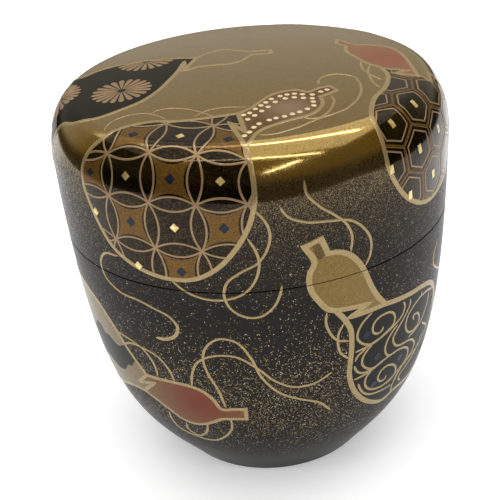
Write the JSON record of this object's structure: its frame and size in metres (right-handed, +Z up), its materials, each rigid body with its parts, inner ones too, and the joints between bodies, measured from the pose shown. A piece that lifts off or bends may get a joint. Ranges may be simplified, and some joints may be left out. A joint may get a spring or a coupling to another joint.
{
  "type": "natsume tea caddy",
  "caption": "Round lidded caddy for powdered tea: a turned, lacquered pot with an inner rim and a lid that lifts straight off, decorated with gourds in gold, red and shell.",
  "frame": {"origin": "centre of the foot, on the surface that the caddy stands on", "axes": "+Z up along the turning axis, -Y towards the side that the picture shows"},
  "size_m": [0.067, 0.067, 0.07],
  "materials": {
    "pot_lacquer": "turned wood under glossy black lacquer with sprinkled gold",
    "lid_lacquer": "turned wood under glossy clear lacquer over dense sprinkled gold, fading to black",
    "gold_foil": "cut gold foil under clear lacquer",
    "abalone_shell": "polished blue-green shell",
    "gold_relief": "raised gold-powder lacquer lines and fills",
    "coloured_lacquer": "red, brown and black lacquer fills, glossy"
  },
  "bodies": {
    "pot": {"pot": "pot_lacquer", "swirl_shell_chip_01": "abalone_shell", "swirl_shell_chip_02": "abalone_shell", "swirl_shell_chip_03": "abalone_shell", "swirl_shell_chip_04": "abalone_shell", "swirl_shell_chip_05": "abalone_shell", "swirl_shell_chip_06": "abalone_shell", "swirl_shell_chip_07": "abalone_shell"},
    "lid": {"asanoha_gold_square_01": "gold_foil", "asanoha_gold_square_02": "gold_foil", "asanoha_gold_square_03": "gold_foil", "asanoha_gold_square_04": "gold_foil", "asanoha_gold_square_05": "gold_foil", "asanoha_gold_square_06": "gold_foil", "asanoha_gold_square_07": "gold_foil", "kikko_gold_strip_01": "gold_foil", "kikko_gold_strip_02": "gold_foil", "kikko_gold_strip_03": "gold_foil", "kikko_gold_strip_04": "gold_foil", "kikko_gold_strip_05": "gold_foil", "kikko_gold_strip_06": "gold_foil", "kikko_gold_strip_07": "gold_foil", "lid": "lid_lacquer", "shippo_gold_square_01": "gold_foil", "shippo_gold_square_02": "gold_foil", "shippo_gold_square_03": "gold_foil", "shippo_gold_square_04": "gold_foil", "shippo_gold_square_05": "gold_foil", "shippo_gold_square_06": "gold_foil", "shippo_shell_chip_01": "abalone_shell", "shippo_shell_chip_02": "abalone_shell", "shippo_shell_chip_03": "abalone_shell", "shippo_shell_chip_04": "abalone_shell", "shippo_shell_chip_05": "abalone_shell", "shippo_shell_chip_06": "abalone_shell", "shippo_shell_chip_07": "abalone_shell"}
  },
  "joints": [
    {"name": "lid_lift", "type": "slide", "parent": "pot", "child": "lid", "axis": [0, 0, 1], "range_m": [0, 0.045]}
  ]
}
